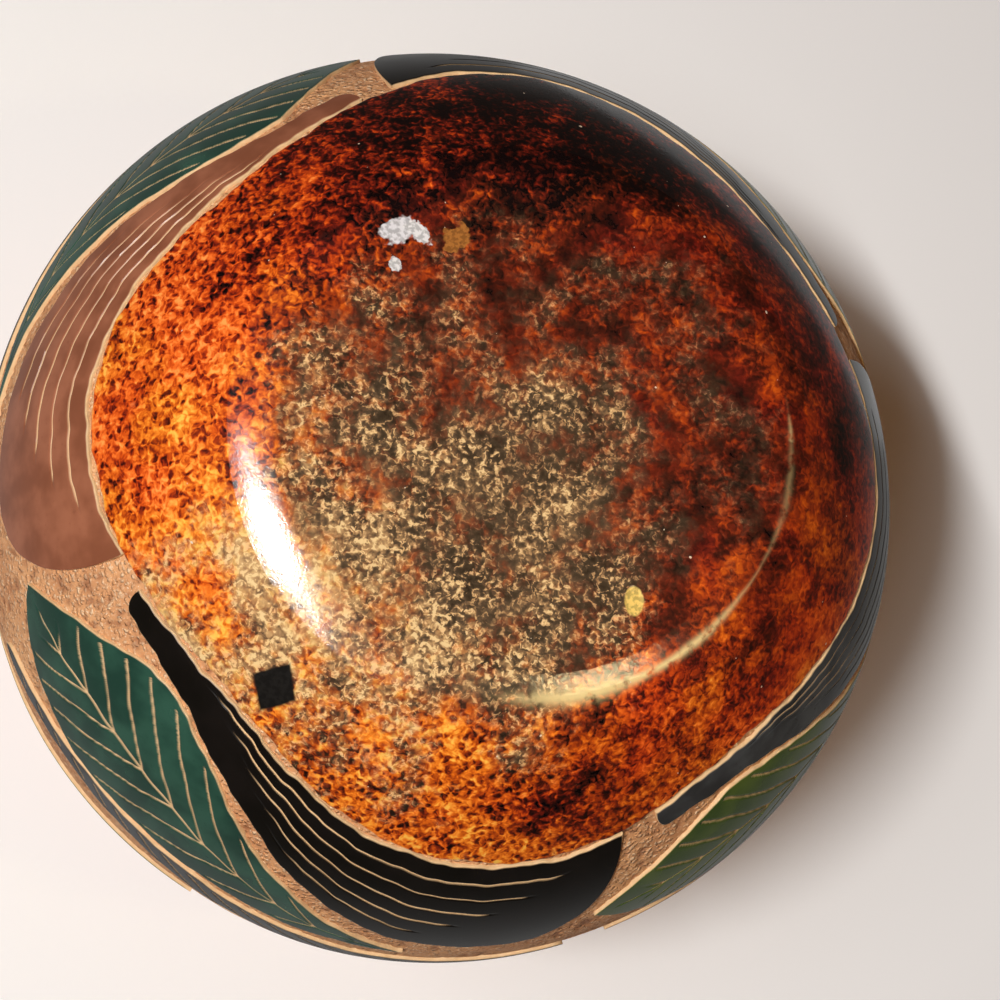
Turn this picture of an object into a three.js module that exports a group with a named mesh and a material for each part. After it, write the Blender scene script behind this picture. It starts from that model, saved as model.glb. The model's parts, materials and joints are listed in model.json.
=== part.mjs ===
// A globular burnished pottery vase: four luted clay sections under carved islands of coloured slip.
// Millimetres, +Z up. The origin is the centre of the flat base, on the surface that the vase stands on.

import * as THREE from 'three';

// Driving dimensions of the pot
const BODY_DIAMETER = 178; // widest circle, over the slip
const BASE_DIAMETER = 92; // where the wall's curve would meet the standing plane
const WAIST_HEIGHT = 74; // the widest circle above the standing plane
const SHOULDER_RISE = 77; // how far the shoulder's curve would climb above the waist, at the axis
const NECK_DIAMETER = 60; // outside, at the narrowest circle
const NECK_SWEEP = 8; // how far outside the narrowest circle the collar starts on the shoulder
const NECK_RISE = 8; // from the collar's lower edge to the narrowest circle
const LIP_RISE = 20; // from the narrowest circle to the top of the lip
const LIP_DIAMETER = 80; // outside
const LIP_FLARE = 40; // degrees from upright
const WALL = 7; // clay wall of the two bowls
const LIP_WALL = 5.5; // clay wall at the lip
const FLOOR_THICKNESS = 9;
const FLOOR_COVE = 6; // width of the hollow curve between the floor and the wall
const BASE_EDGE = 3.5; // how far the rounded edge reaches in from the base circle
const FOOT_WIDTH = 4; // from the base circle out to the foot's joint with the wall
const JOINT_RISE = 4; // of the bevelled waist joint, from its outer edge to its inner edge
const LUTE_GAP = 0.3; // between two luted clay sections
const SLIP = 1; // thickness of the slip coats
const SEAT_GAP = 0.3; // between a slip coat and the clay under it

// Driving dimensions of the carved frieze. Heights are along the wall, from the waist.
const REPEATS = 4; // how often the pattern repeats around the pot
const FIRST_REPEAT = -20; // degrees, where the first repeat starts
const FRIEZE_BELOW = 63;
const FRIEZE_ABOVE = 50;
const BORDER_SWELL = 5; // height of the waves in the frieze's two borders
const GROUND_WIDTH = 1; // bare clay between two islands
const WAVE_CREST = 32;
const WAVE_TAIL = 5.5;
const RIBBON_HEIGHT = -11; // of the ribbon's middle line above the waist
const RIBBON_SWELL = 5;
const RIBBON_WIDTH = 9;
const RIBBON_TIP = 3;
const LEAF_FOOT = 3; // height of a slanting leaf's lower tip
const LEAF_HEAD = 39; // height of its upper tip
const LEAF_WIDTH = 20;
const LEAF_SPAN = 0.9; // length of a slanting leaf, in repeats of the pattern
const TIP = 0.5; // blunt width of a pointed end

// Facets
const SEGMENTS = 48; // around the pot
const ARC_STEP = 9; // degrees, up the wall
const PATCH_ROWS = 3; // across an island of slip
const LIP_STEPS = 4; // over the round of the lip

const WAIST_RADIUS = BODY_DIAMETER / 2;
const BASE_RADIUS = BASE_DIAMETER / 2;
const NECK_RADIUS = NECK_DIAMETER / 2;
const FACET_SAG = 2 * WAIST_RADIUS * (1 - Math.cos(Math.PI / SEGMENTS)); // of a flat facet, both ways
const CLAY_DEPTH = SLIP + SEAT_GAP + FACET_SAG; // the clay's outer face below the finished surface
const INNER_DEPTH = CLAY_DEPTH + WALL;

const degrees = THREE.MathUtils.radToDeg;
const radians = THREE.MathUtils.degToRad;
const { clamp, lerp, smoothstep } = THREE.MathUtils;

// The wall's curve is two half ellipses that share the waist. Polar angles run from 0, straight down at
// the axis, through 90 at the waist, to 180.
const BASE_POLAR = degrees(Math.asin(BASE_RADIUS / WAIST_RADIUS));
const FOOT_POLAR = degrees(Math.asin((BASE_RADIUS + FOOT_WIDTH) / WAIST_RADIUS));
const NECK_POLAR = 180 - degrees(Math.asin((NECK_RADIUS + NECK_SWEEP) / WAIST_RADIUS));
const LOWER_RISE = WAIST_HEIGHT / Math.cos(radians(BASE_POLAR));
const WAIST_POLAR = 90;
const BEVEL_ANGLE = degrees(JOINT_RISE / 2 / WAIST_RADIUS);
const LUTE_ANGLE = degrees(LUTE_GAP / WAIST_RADIUS);

// A point of the wall, as (radius, height), at a depth under the finished surface.
function wallPoint(polar, depth) {
  const rise = polar < WAIST_POLAR ? LOWER_RISE : SHOULDER_RISE;
  const sine = Math.sin(radians(polar));
  const cosine = Math.cos(radians(polar));
  const outward = new THREE.Vector2(rise * sine, -WAIST_RADIUS * cosine).normalize();
  const finished = new THREE.Vector2(WAIST_RADIUS * sine, WAIST_HEIGHT - rise * cosine);
  return finished.addScaledVector(outward, -depth);
}

// The wall's curve between two polar angles, as a list of points.
function wallArc(from, to, depth) {
  const steps = Math.ceil(Math.abs(to - from) / ARC_STEP);
  return Array.from({ length: steps + 1 }, (_, i) => wallPoint(lerp(from, to, i / steps), depth));
}

// A height along the wall, from the waist, as a polar angle.
const polarAt = (height) => WAIST_POLAR + degrees(height / WAIST_RADIUS);

// Turns a profile of (radius, height) points about the Z axis.
function turned(profile) {
  const geometry = new THREE.LatheGeometry(profile, SEGMENTS);
  return geometry.rotateX(Math.PI / 2);
}

// Clay slab under the pot: flat to stand on, with a rounded edge, a joint face square to the wall, and a
// hollow curve from the floor up into the wall.
function footDisc() {
  const jointOut = wallPoint(FOOT_POLAR, 0);
  const jointIn = wallPoint(FOOT_POLAR, INNER_DEPTH);
  const edge = new THREE.QuadraticBezierCurve(
    new THREE.Vector2(BASE_RADIUS - BASE_EDGE, 0),
    new THREE.Vector2(BASE_RADIUS, 0),
    jointOut,
  );
  const floorRim = new THREE.Vector2(jointIn.x - FLOOR_COVE, FLOOR_THICKNESS);
  const cove = new THREE.QuadraticBezierCurve(
    jointIn,
    new THREE.Vector2(jointIn.x - FLOOR_COVE / 2, FLOOR_THICKNESS),
    floorRim,
  );
  return turned([
    new THREE.Vector2(0, 0),
    ...edge.getPoints(4),
    ...cove.getPoints(2),
    new THREE.Vector2(0, FLOOR_THICKNESS),
  ]);
}

// Thrown bowl from the foot to the waist.
function lowerBowl() {
  const outer = wallArc(FOOT_POLAR + LUTE_ANGLE, WAIST_POLAR - BEVEL_ANGLE, CLAY_DEPTH);
  const inner = wallArc(WAIST_POLAR + BEVEL_ANGLE, FOOT_POLAR + LUTE_ANGLE, INNER_DEPTH);
  return turned([...outer, ...inner, outer[0]]);
}

// Thrown dome from the waist to the collar, bevelled to sit on the lower bowl.
function upperBowl() {
  const outer = wallArc(WAIST_POLAR - BEVEL_ANGLE + LUTE_ANGLE, NECK_POLAR, CLAY_DEPTH);
  const inner = wallArc(NECK_POLAR, WAIST_POLAR + BEVEL_ANGLE + LUTE_ANGLE, INNER_DEPTH);
  return turned([...outer, ...inner, outer[0]]);
}

// Collar that sweeps up from the shoulder, narrows, and flares to a round lip.
function neckCollar() {
  const start = wallPoint(NECK_POLAR + LUTE_ANGLE, 0);
  const waist = new THREE.Vector2(NECK_RADIUS, start.y + NECK_RISE);
  const flare = new THREE.Vector2(Math.sin(radians(LIP_FLARE)), Math.cos(radians(LIP_FLARE)));
  const end = new THREE.Vector2(
    LIP_DIAMETER / 2 - (LIP_WALL / 2) * (1 - flare.y),
    waist.y + LIP_RISE - (LIP_WALL / 2) * (1 + flare.x),
  );
  const corner = new THREE.Vector2(NECK_RADIUS, end.y - ((end.x - NECK_RADIUS) * flare.y) / flare.x);
  const sweep = new THREE.QuadraticBezierCurve(start, new THREE.Vector2(NECK_RADIUS, start.y), waist);
  const mouth = new THREE.QuadraticBezierCurve(waist, corner, end);
  const outside = [...sweep.getPoints(4), ...mouth.getPoints(5).slice(1)];

  // The inside follows the outside, from the bowl's wall at the joint to the lip's.
  const inside = outside.map((point, i) => {
    const before = outside[Math.max(i - 1, 0)];
    const after = outside[Math.min(i + 1, outside.length - 1)];
    const along = after.clone().sub(before).normalize();
    const inward = new THREE.Vector2(-along.y, along.x);
    return point.clone().addScaledVector(inward, lerp(INNER_DEPTH, LIP_WALL, i / (outside.length - 1)));
  });
  inside[0] = wallPoint(NECK_POLAR + LUTE_ANGLE, INNER_DEPTH);

  const middle = end.clone().lerp(inside.at(-1), 0.5);
  const lip = [];
  for (let step = 1; step < LIP_STEPS; step++) {
    const turn = (Math.PI * step) / LIP_STEPS;
    lip.push(end.clone().rotateAround(middle, turn));
  }
  return turned([...outside, ...lip, ...inside.reverse(), outside[0]]);
}

// A coat of slip over the wall: a closed shell between two edges, given as heights along the wall. The
// stations are places around the pot, in turns. Edges at a first and a last station one turn apart join up.
function slipCoat(stations, edges, rows) {
  const closed = stations.at(-1) - stations[0] > 1 - 1e-9;
  const columns = closed ? stations.length - 1 : stations.length;
  const positions = [];
  for (let i = 0; i < columns; i++) {
    const azimuth = 2 * Math.PI * stations[i];
    const [low, high] = edges(stations[i]);
    for (const depth of [0, SLIP]) {
      for (let j = 0; j <= rows; j++) {
        const point = wallPoint(polarAt(lerp(low, high, j / rows)), depth);
        positions.push(point.x * Math.cos(azimuth), point.x * Math.sin(azimuth), point.y);
      }
    }
  }

  const at = (i, side, j) => ((i % columns) * 2 + side) * (rows + 1) + j;
  const index = [];
  const quad = (a, b, c, d) => index.push(a, b, c, a, c, d);
  const spans = closed ? columns : columns - 1;
  for (let i = 0; i < spans; i++) {
    for (let j = 0; j < rows; j++) {
      quad(at(i, 0, j), at(i + 1, 0, j), at(i + 1, 0, j + 1), at(i, 0, j + 1));
      quad(at(i, 1, j), at(i, 1, j + 1), at(i + 1, 1, j + 1), at(i + 1, 1, j));
    }
    quad(at(i, 0, 0), at(i, 1, 0), at(i + 1, 1, 0), at(i + 1, 0, 0));
    quad(at(i, 0, rows), at(i + 1, 0, rows), at(i + 1, 1, rows), at(i, 1, rows));
  }
  if (!closed) {
    for (let j = 0; j < rows; j++) {
      quad(at(0, 0, j), at(0, 0, j + 1), at(0, 1, j + 1), at(0, 1, j));
      quad(at(spans, 0, j), at(spans, 1, j), at(spans, 1, j + 1), at(spans, 0, j + 1));
    }
  }
  const geometry = new THREE.BufferGeometry();
  geometry.setAttribute('position', new THREE.Float32BufferAttribute(positions, 3));
  geometry.setIndex(index);
  geometry.computeVertexNormals();
  return geometry;
}

// The frieze's borders and islands. p counts repeats of the pattern, from the start of the first one.
const FIRST_TURN = FIRST_REPEAT / 360;
const turnAt = (p) => FIRST_TURN + p / REPEATS;
const repeatsAt = (turn) => (turn - FIRST_TURN) * REPEATS;
const ripple = (p, phase) => Math.sin(2 * Math.PI * (p - phase));
const lowerBorder = (p) => -FRIEZE_BELOW + BORDER_SWELL * ripple(p, 0.02);
const upperBorder = (p) => FRIEZE_ABOVE + BORDER_SWELL * ripple(p, 0.55);

// How an island's width closes at its ends: s runs from 0 to 1 along it.
const roundEnd = (s, length) => Math.sqrt(1 - (1 - clamp(s / length, 0, 1)) ** 2);
const LEAF_FULLNESS = 0.85; // below 1, a leaf widens faster from its tips
const roundedRise = (share) => Math.sin((Math.PI / 2) * share) ** LEAF_FULLNESS;
const leafWidth = (s, widest) => roundedRise(Math.min(s / widest, (1 - s) / (1 - widest)));

function banded(middle, width) {
  const half = Math.max(width, TIP) / 2;
  return [middle - half, middle + half];
}

const waveHeight = (s) => WAVE_TAIL + (WAVE_CREST - WAVE_TAIL) * (1 - smoothstep(s, 0.16, 0.94));
const ribbonMiddle = (p) => RIBBON_HEIGHT + RIBBON_SWELL * ripple(p, 0.02);
const ribbonWidth = (s) => RIBBON_TIP + (RIBBON_WIDTH - RIBBON_TIP) * leafWidth(s, 0.35);

const wave = {
  from: 0.03,
  to: 0.97,
  edges(p, s) {
    const low = lowerBorder(p) + GROUND_WIDTH;
    const close = Math.min(roundEnd(s, 0.14), roundEnd(1 - s, 0.03));
    return [low, low + Math.max(waveHeight(s) * close, TIP)];
  },
};

const ribbon = {
  from: 0.06,
  to: 1,
  edges(p, s) {
    const close = Math.min(roundEnd(s, 0.02), roundEnd(1 - s, 0.02));
    return banded(ribbonMiddle(p), ribbonWidth(s) * close);
  },
};

// Fills the trough between the back of a wave and the ribbon above it.
const troughLeaf = {
  from: 0.3,
  to: 1.05,
  edges(p, s) {
    const waveAt = clamp((p - wave.from) / (wave.to - wave.from), 0, 1);
    const ribbonAt = clamp((p - ribbon.from) / (ribbon.to - ribbon.from), 0, 1);
    const low = lowerBorder(p) + GROUND_WIDTH + waveHeight(waveAt) + GROUND_WIDTH;
    const high = ribbonMiddle(p) - ribbonWidth(ribbonAt) / 2 - GROUND_WIDTH;
    return banded((low + high) / 2, (high - low) * leafWidth(s, 0.62));
  },
};

const slantingLeaf = (from) => ({
  from,
  to: from + LEAF_SPAN,
  edges(p, s) {
    const climb = 0.4 * s + 0.6 * smoothstep(s, 0, 1);
    return banded(lerp(LEAF_FOOT, LEAF_HEAD, climb), LEAF_WIDTH * leafWidth(s, 0.45));
  },
});

// Stations along an island, closer together at its two ends.
function islandStations(length) {
  const even = Math.ceil((length * SEGMENTS) / REPEATS);
  const middle = Array.from({ length: even + 1 }, (_, i) => lerp(0.05, 0.95, i / even));
  return [0, 0.015, ...middle, 0.985, 1];
}

function island(shape, repeat) {
  const along = islandStations(shape.to - shape.from);
  const stations = along.map((s) => turnAt(repeat + lerp(shape.from, shape.to, s)));
  const edges = (turn) => {
    const p = repeatsAt(turn) - repeat;
    return shape.edges(p, clamp((p - shape.from) / (shape.to - shape.from), 0, 1));
  };
  return slipCoat(stations, edges, PATCH_ROWS);
}

const allRound = Array.from({ length: SEGMENTS + 1 }, (_, i) => i / SEGMENTS);
const heightAt = (polar) => radians(polar - WAIST_POLAR) * WAIST_RADIUS;
const FOOT_HEIGHT = heightAt(FOOT_POLAR + LUTE_ANGLE);
const NECK_HEIGHT = heightAt(NECK_POLAR);

const lowerCoat = () => slipCoat(allRound, (turn) => [FOOT_HEIGHT, lowerBorder(repeatsAt(turn))], 5);
const shoulderCoat = () => slipCoat(allRound, (turn) => [upperBorder(repeatsAt(turn)), NECK_HEIGHT], 5);

const finish = (color, roughness) => new THREE.MeshStandardMaterial({ color, roughness, metalness: 0 });
const CLAY = finish(0xb98a68, 0.85);
const MOTTLED_SLIP = finish(0x7a3312, 0.25);
const BLACK_SLIP = finish(0x17110e, 0.2);
const LEAF_GREEN_SLIP = finish(0x4f7432, 0.3);
const DEEP_GREEN_SLIP = finish(0x2f5a48, 0.3);
const GREY_SLIP = finish(0x45474c, 0.3);
const TERRACOTTA_SLIP = finish(0x9c5a40, 0.35);

const vase = new THREE.Group();

function add(name, geometry, material) {
  const mesh = new THREE.Mesh(geometry, material);
  mesh.name = name;
  vase.add(mesh);
}

add('foot_disc', footDisc(), MOTTLED_SLIP);
add('lower_bowl', lowerBowl(), CLAY);
add('upper_bowl', upperBowl(), CLAY);
add('neck_collar', neckCollar(), MOTTLED_SLIP);
add('lower_slip_coat', lowerCoat(), MOTTLED_SLIP);
add('shoulder_slip_coat', shoulderCoat(), MOTTLED_SLIP);

// Each kind of island, with its slip in each repeat.
const islands = {
  wave: [wave, [GREY_SLIP, BLACK_SLIP, TERRACOTTA_SLIP, BLACK_SLIP]],
  trough_leaf: [troughLeaf, [LEAF_GREEN_SLIP, DEEP_GREEN_SLIP, DEEP_GREEN_SLIP, LEAF_GREEN_SLIP]],
  ribbon: [ribbon, [TERRACOTTA_SLIP, GREY_SLIP, BLACK_SLIP, GREY_SLIP]],
  low_leaf: [slantingLeaf(0.08), [DEEP_GREEN_SLIP, TERRACOTTA_SLIP, LEAF_GREEN_SLIP, TERRACOTTA_SLIP]],
  high_leaf: [slantingLeaf(0.58), [BLACK_SLIP, LEAF_GREEN_SLIP, GREY_SLIP, DEEP_GREEN_SLIP]],
};
for (const [name, [shape, slips]] of Object.entries(islands)) {
  for (let repeat = 0; repeat < REPEATS; repeat++) {
    add(`${name}_${repeat + 1}`, island(shape, repeat), slips[repeat % slips.length]);
  }
}

export default vase;
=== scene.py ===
"""Looks of a globular burnished pottery vase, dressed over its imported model.

Lengths are millimetres and angles are degrees. The stage and the lamps are in metres.
Azimuths run from +X towards +Y. Polar angles run from 0, straight down at the axis, through 90 at the waist.
"""

import json
import math
from functools import cached_property

import bpy
import numpy as np
from mathutils import Matrix, Vector


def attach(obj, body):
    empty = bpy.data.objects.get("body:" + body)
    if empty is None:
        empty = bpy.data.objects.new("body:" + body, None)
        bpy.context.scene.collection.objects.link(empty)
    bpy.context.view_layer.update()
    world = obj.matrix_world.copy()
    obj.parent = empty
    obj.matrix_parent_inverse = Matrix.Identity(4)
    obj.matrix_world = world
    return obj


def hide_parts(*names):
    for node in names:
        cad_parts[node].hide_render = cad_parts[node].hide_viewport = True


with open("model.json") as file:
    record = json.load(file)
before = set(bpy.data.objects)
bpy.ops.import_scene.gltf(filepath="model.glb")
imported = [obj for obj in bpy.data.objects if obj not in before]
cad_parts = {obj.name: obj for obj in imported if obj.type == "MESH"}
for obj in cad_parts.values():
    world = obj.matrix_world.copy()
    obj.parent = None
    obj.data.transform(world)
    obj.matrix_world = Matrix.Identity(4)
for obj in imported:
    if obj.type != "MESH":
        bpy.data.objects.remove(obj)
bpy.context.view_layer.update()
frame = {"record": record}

MM = 0.001  # metres in a millimetre

# The pot, as in the solids
WAIST_RADIUS = 89.0
WAIST_POLAR = 90.0
BASE_RADIUS = 46.0
WAIST_HEIGHT = 74.0
SHOULDER_RISE = 77.0
NECK_RADIUS = 30.0
NECK_SWEEP = 8.0
NECK_RISE = 8.0
LIP_RISE = 20.0
LIP_RADIUS = 40.0
LIP_FLARE = 40.0
LIP_WALL = 5.5
INNER_DEPTH = 8.7  # of the inner wall, under the finished surface
FLOOR_THICKNESS = 9.0
FLOOR_COVE = 6.0
FOOT_WIDTH = 4.0

# The frieze, as in the solids. Heights run along the wall from the waist, and spans are in repeats.
REPEATS = 4  # of the pattern around the pot
FIRST_REPEAT = -20.0  # azimuth
FRIEZE_BELOW = 63.0
FRIEZE_ABOVE = 50.0
BORDER_SWELL = 5.0
LOWER_PHASE = 0.02
UPPER_PHASE = 0.55
GROUND_WIDTH = 1.0  # of the bare strip between islands
TIP = 0.5
WAVE_SPAN = (0.03, 0.97)
WAVE_CREST = 32.0
WAVE_TAIL = 5.5
WAVE_FALL = (0.16, 0.94)  # shares of its length between which a wave falls from crest to tail
WAVE_ENDS = (0.14, 0.03)  # shares of its length in which its ends round off
TROUGH_SPAN = (0.30, 1.05)
TROUGH_WIDEST = 0.62  # share of its length at which the leaf is widest
RIBBON_SPAN = (0.06, 1.00)
RIBBON_HEIGHT = -11.0
RIBBON_SWELL = 5.0
RIBBON_WIDTH = 9.0
RIBBON_TIP = 3.0
RIBBON_ENDS = (0.02, 0.02)
RIBBON_WIDEST = 0.35
LOW_LEAF_SPAN = (0.08, 0.98)
HIGH_LEAF_SPAN = (0.58, 1.48)
LEAF_FOOT = 3.0
LEAF_HEAD = 39.0
LEAF_WIDTH = 20.0
LEAF_WIDEST = 0.45
LEAF_STRAIGHT = 0.4  # share of a slanting leaf's climb that is straight
LEAF_FULLNESS = 0.85  # power of its outline, fuller when smaller

# The base: its edge has a crease, worn on one side, and a soft bevel on the other. Its middle is hollow.
# Where the wear is widest, its pale gold is partly a painted sheen.
BASE_EDGE = 4.0  # width of the base's rounded edge, up to its crease
CREASE_IN = 4.2  # from the crease to the foot's joint
CREASE_MORE = 1.6  # added to that where it is rubbed
CREASE_WANDER = 0.12  # share of a hand-cut edge's wander
CREASE_SEED = 5
CREASE_HEIGHT = 0.56  # above the base, at least
BEVEL = 8.0  # width of the bevel that takes the edge's place, out to the joint
BEVEL_START = 0.22  # share of its width in which it leaves the base
BEVEL_BEND = 0.2  # how much it steepens outwards
SOFT_SIDE = 165.0  # azimuth of the bevel
SIDE_FADE = (0.30, 0.95)  # cosines of the angle from a side, between which it comes in
WORN_SIDE = 45.0  # azimuth of the middle of the crease's worn part
WORN_FADE = (0.55, 0.80)  # cosines of the angle from it
WEAR_START = (28.0, 55.0)  # azimuths between which the wear grows to full strength
FAINT_WEAR = 0.22
WEAR_REACH = 0.45  # to each side of the crease
WEAR_RIPPLE = 0.5
WEAR_RIPPLES = 9  # around the pot
RUBBED_AND_SHEEN_SIDE = 80.0  # azimuth where the wear is widest, its pale gold partly a painted sheen
RUBBED_SHEEN_SPAN = 16.0  # in azimuth
RUBBED_SHEEN_REACH = 1.3
HOLLOW_DEPTH = 0.3  # of the base's middle
HOLLOW_FADE = (8.0, 36.0)  # distances from the centre between which it fades
HOLLOW_RIPPLE = 0.3  # share of its depth
HOLLOW_WAVES = (0.11, 0.13)  # radians per millimetre along x and y
HOLLOW_PHASE = 1.0  # radians
CHIP = (17.0, 28.0, 4.8, 3.3)  # x and y on the base, length along y and width
CHIP_DEPTH = 0.25
CHIP_RIM = (0.75, 1.05)  # shares of its half width between which its floor comes up

# Carved clay and slip
WALL_STRAY = ((0.25, 2, 0.6, 0.0), (0.15, 3, 0.0, 4.0), (0.05, 1, 0.0, 26.0))  # reach, waves, phase, twist
EDGE_WANDER = ((0.30, 9), (0.24, 23), (0.17, 41), (0.11, 77), (0.07, 133))  # reach and waves around the pot
WANDER_PHASE = 2.4  # radians of its first wave, per seed
WANDER_PHASE_STEP = 1.7  # and more for each next wave
GROUND_DEPTH = 0.7  # of the bare clay between the islands, under the finished surface
GROUND_OVERLAP = 4.0  # how far it goes on under the coats
PIT_DEPTH = 0.3  # of the deepest tool marks in it
WAIST_PITS = 0.3  # their share at the joint of the bowls
BED_DEPTH = 1.4  # of a slip island's underside, let into the clay
EDGE_ROUND = 0.55  # width of an island's rounded edge
EDGE_SHARE = 0.4  # of the island's width, at most
EDGE_DROP = 0.4  # how far the rounded edge falls before the island's side
EDGE_STEPS = np.array([0.0, 0.1, 0.25, 0.45, 0.7, 1.0])
EDGE_BARE = (0.10, 0.35)  # distances from a cut edge between which clay gives way to slip
LOOSE_WIDTH = 6.0  # width from which an island's edges wander freely
TOOL_REACH = 0.32  # half the width of a cut line
GROOVE_DEPTH = 0.28  # of a cut line
GROOVE_BARE = (0.35, 0.85)  # shares of that depth between which slip gives way to clay

# Fineness of the meshes
COLUMNS = 720  # around the pot, for the foot and the collar
SLIP_COLUMNS = 900  # for the bowls and the coats
BASE_RINGS = 88
EDGE_RINGS = 16
COVE_STEPS = 6
FLOOR_RINGS = 4
FLOOR_HOLE = 1.0  # radius of the floor's innermost ring
COLLAR_STEPS = 24
LIP_STEPS = 13
LOWER_ROWS = 86
UPPER_ROWS = 85
COVERED_ROWS = 4
INNER_ROWS = 14
COAT_ROWS = 60
ISLAND_STEP = 0.35  # between columns of an island's mesh
END_CROWDING = 0.014  # how much closer together the columns are at an island's ends
SHARP_ANGLE = 50.0

LOWER_RISE = WAIST_HEIGHT / math.sqrt(1 - (BASE_RADIUS / WAIST_RADIUS) ** 2)
BASE_POLAR = math.degrees(math.asin(BASE_RADIUS / WAIST_RADIUS))
FOOT_POLAR = math.degrees(math.asin((BASE_RADIUS + FOOT_WIDTH) / WAIST_RADIUS))
NECK_POLAR = 180 - math.degrees(math.asin((NECK_RADIUS + NECK_SWEEP) / WAIST_RADIUS))


def smoothstep(value, low, high):
    share = np.clip((value - low) / (high - low), 0, 1)
    return share * share * (3 - 2 * share)


def lerp(a, b, share):
    return a + (b - a) * share


def soft_start(share, start):
    """A straight climb from 0 to 1 that bends up smoothly in its first part."""
    bend = np.clip(share / start, 0, 1)
    return (start * (bend**3 - bend**4 / 2) + np.maximum(share - start, 0)) / (1 - start / 2)


def waves(turn, rows):
    """Sum of waves around the pot, from rows of reach, count and phase."""
    return sum(reach * np.sin(count * turn + phase) for reach, count, phase in rows)


# The pot's surface


def wall_profile(polar, depth):
    """Radius and height of the wall at a depth under its finished surface."""
    rise = np.where(polar < WAIST_POLAR, LOWER_RISE, SHOULDER_RISE)
    sine, cosine = np.sin(np.radians(polar)), np.cos(np.radians(polar))
    out, up = rise * sine, -WAIST_RADIUS * cosine
    size = np.hypot(out, up)
    return WAIST_RADIUS * sine - depth * out / size, WAIST_HEIGHT - rise * cosine - depth * up / size


def hand_made(azimuth, polar):
    """How far the thrown wall strays outwards: nowhere at its joints with the foot and the collar."""
    share = np.clip((polar - FOOT_POLAR) / (NECK_POLAR - FOOT_POLAR), 0, 1)
    rows = ((reach, count, phase + twist * share) for reach, count, phase, twist in WALL_STRAY)
    return waves(np.radians(azimuth), rows) * np.sin(np.pi * share) ** 2


def full_turn(columns):
    """Azimuths of the columns around the pot."""
    return np.linspace(0, 360, columns, endpoint=False)


def around(azimuth, radius, height):
    """Points at a radius and height, turned to their azimuths."""
    turn = np.radians(azimuth)
    x, y, z = np.broadcast_arrays(radius * np.cos(turn), radius * np.sin(turn), height)
    return np.stack([x, y, z], axis=-1)


def wall_points(azimuth, polar, depth):
    radius, height = wall_profile(polar, depth - hand_made(azimuth, polar))
    return around(azimuth, radius, height)


def polar_at(height):
    """A height along the wall, from the waist, as a polar angle."""
    return WAIST_POLAR + np.degrees(height / WAIST_RADIUS)


def height_at(polar):
    return np.radians(polar - WAIST_POLAR) * WAIST_RADIUS


def bezier(start, control, end, steps):
    share = np.linspace(0, 1, steps + 1)[:, None]
    start, control, end = np.array([start, control, end])
    return (1 - share) ** 2 * start + 2 * share * (1 - share) * control + share**2 * end


def wander(azimuth, seed):
    """How far a hand-cut edge strays from its line."""
    phases = (seed * (WANDER_PHASE + WANDER_PHASE_STEP * k) for k in range(len(EDGE_WANDER)))
    return waves(np.radians(azimuth), ((*row, phase) for row, phase in zip(EDGE_WANDER, phases)))


# Meshes


def grid_faces(columns, rows, wrap_columns, wrap_rows):
    """Quads of a grid of points numbered row by row along each column, facing out of the pot."""
    i, j = np.indices((columns if wrap_columns else columns - 1, rows if wrap_rows else rows - 1))
    next_i, next_j = (i + 1) % columns, (j + 1) % rows
    corners = [i * rows + j, next_i * rows + j, next_i * rows + next_j, i * rows + next_j]
    return np.stack(corners, axis=-1).reshape(-1, 4)


def ring_faces(points):
    """Quads of a ring around the pot whose columns are closed loops."""
    return [grid_faces(*points.shape[:2], True, True)]


def make_piece(name, points, polygons, node, values):
    """A smooth piece that stands for a node of the solids. values are numbers on its points, by name."""
    slot = SLOTS[node]
    mesh = bpy.data.meshes.new(name)
    corners = np.concatenate([p.ravel() for p in polygons])
    sizes = np.concatenate([np.full(len(p), p.shape[1]) for p in polygons])
    points = points.reshape(-1, 3)
    mesh.vertices.add(len(points))
    mesh.vertices.foreach_set("co", (points * MM).astype(np.float32).ravel())
    mesh.loops.add(len(corners))
    mesh.loops.foreach_set("vertex_index", corners.astype(np.int32))
    mesh.polygons.add(len(sizes))
    mesh.polygons.foreach_set("loop_start", (np.cumsum(sizes) - sizes).astype(np.int32))
    mesh.update(calc_edges=True)
    mesh.shade_smooth()
    mesh.set_sharp_from_angle(angle=math.radians(SHARP_ANGLE))
    for key, numbers in values.items():
        attribute = mesh.attributes.new(key, "FLOAT", "POINT")
        attribute.data.foreach_set("value", numbers.astype(np.float32).ravel())
    mesh.materials.append(MATERIALS[slot])
    piece = bpy.data.objects.new(name, mesh)
    bpy.context.scene.collection.objects.link(piece)
    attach(piece, "root")
    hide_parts(node)
    return piece


# Shading

NUMBER_MIX = (2, 3, 0)  # sockets of a mix node for numbers: both inputs and the result
COLOUR_MIX = (6, 7, 2)  # and for colours
SPOT_HEIGHT = 60.0  # above the base, where marks on the underside end
SPOT_RIM = (0.9, 1.1)  # shares of a mark's half size between which it ends


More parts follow.
